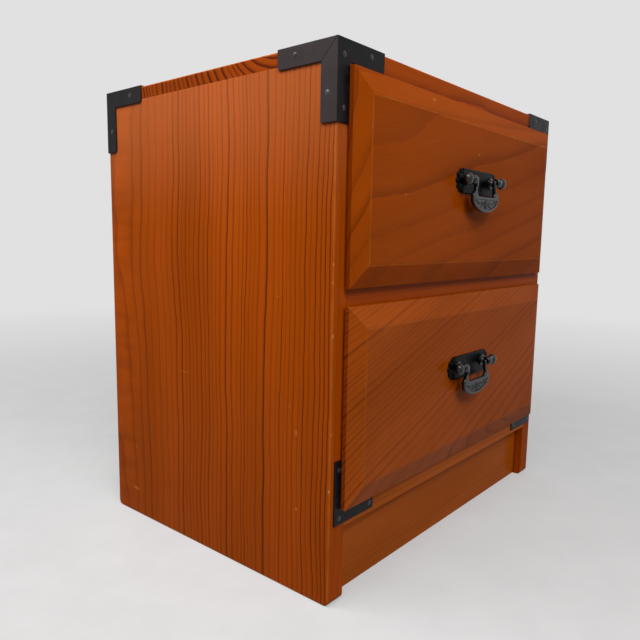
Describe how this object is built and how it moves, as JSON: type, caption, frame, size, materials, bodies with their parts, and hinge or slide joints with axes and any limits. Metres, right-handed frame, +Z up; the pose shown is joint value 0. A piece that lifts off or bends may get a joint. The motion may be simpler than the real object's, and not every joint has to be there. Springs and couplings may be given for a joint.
{
  "type": "small tansu chest",
  "caption": "Small upright wooden tansu chest with bevelled overlay drawers, iron drop bail handles, nailed iron corner brackets and a recessed kickboard.",
  "frame": {"origin": "middle of the footprint of the whole chest with its handles, on the floor", "axes": "+Z up, +Y from the drawer fronts to the back, +X to the right seen from the front"},
  "size_m": [0.3216, 0.2519, 0.3413],
  "materials": {
    "case_wood": "orange-brown stained softwood under semi-gloss lacquer",
    "front_wood": "deeper red-brown stained softwood under semi-gloss lacquer",
    "inner_wood": "plain planed softwood, unfinished",
    "panel_wood": "thin plain plywood, unfinished",
    "bracket_iron": "black satin lacquered sheet iron, worn at the edges",
    "nail_iron": "dark round nail heads, rubbed bright on top",
    "handle_iron": "black waxed forged iron, half gloss",
    "nut_steel": "plain steel nuts"
  },
  "bodies": {
    "case": {"left_side_panel": "case_wood", "right_side_panel": "case_wood", "top_board": "case_wood", "bottom_board": "case_wood", "middle_rail": "case_wood", "kickboard": "case_wood", "back_panel": "panel_wood", "left_drawer_runner": "inner_wood", "right_drawer_runner": "inner_wood", "front_left_corner_bracket": "bracket_iron", "front_left_corner_nails": "nail_iron", "front_right_corner_bracket": "bracket_iron", "front_right_corner_nails": "nail_iron", "back_left_corner_bracket": "bracket_iron", "back_left_corner_nails": "nail_iron", "back_right_corner_bracket": "bracket_iron", "back_right_corner_nails": "nail_iron", "left_base_bracket": "bracket_iron", "left_base_nails": "nail_iron", "right_base_bracket": "bracket_iron", "right_base_nails": "nail_iron"},
    "upper_drawer": {"upper_drawer_front": "front_wood", "upper_drawer_left_side": "inner_wood", "upper_drawer_right_side": "inner_wood", "upper_drawer_back": "inner_wood", "upper_drawer_floor": "panel_wood", "upper_handle_plate": "handle_iron", "upper_handle_left_post": "handle_iron", "upper_handle_right_post": "handle_iron", "upper_handle_nuts": "nut_steel"},
    "upper_bail": {"upper_bail": "handle_iron", "upper_bail_balls": "handle_iron"},
    "lower_drawer": {"lower_drawer_front": "front_wood", "lower_drawer_left_side": "inner_wood", "lower_drawer_right_side": "inner_wood", "lower_drawer_back": "inner_wood", "lower_drawer_floor": "panel_wood", "lower_handle_plate": "handle_iron", "lower_handle_left_post": "handle_iron", "lower_handle_right_post": "handle_iron", "lower_handle_nuts": "nut_steel"},
    "lower_bail": {"lower_bail": "handle_iron", "lower_bail_balls": "handle_iron"}
  },
  "joints": [
    {"name": "upper_drawer_slide", "type": "slide", "parent": "case", "child": "upper_drawer", "axis": [0, -1, 0], "range_m": [0, 0.16]},
    {"name": "lower_drawer_slide", "type": "slide", "parent": "case", "child": "lower_drawer", "axis": [0, -1, 0], "range_m": [0, 0.16]},
    {"name": "upper_bail_hinge", "type": "hinge", "parent": "upper_drawer", "child": "upper_bail", "pos_m": [0, -0.1226, 0.2728], "axis": [-1, 0, 0], "range_deg": [-12, 192]},
    {"name": "lower_bail_hinge", "type": "hinge", "parent": "lower_drawer", "child": "lower_bail", "pos_m": [0, -0.1226, 0.1348], "axis": [-1, 0, 0], "range_deg": [-12, 192]}
  ]
}
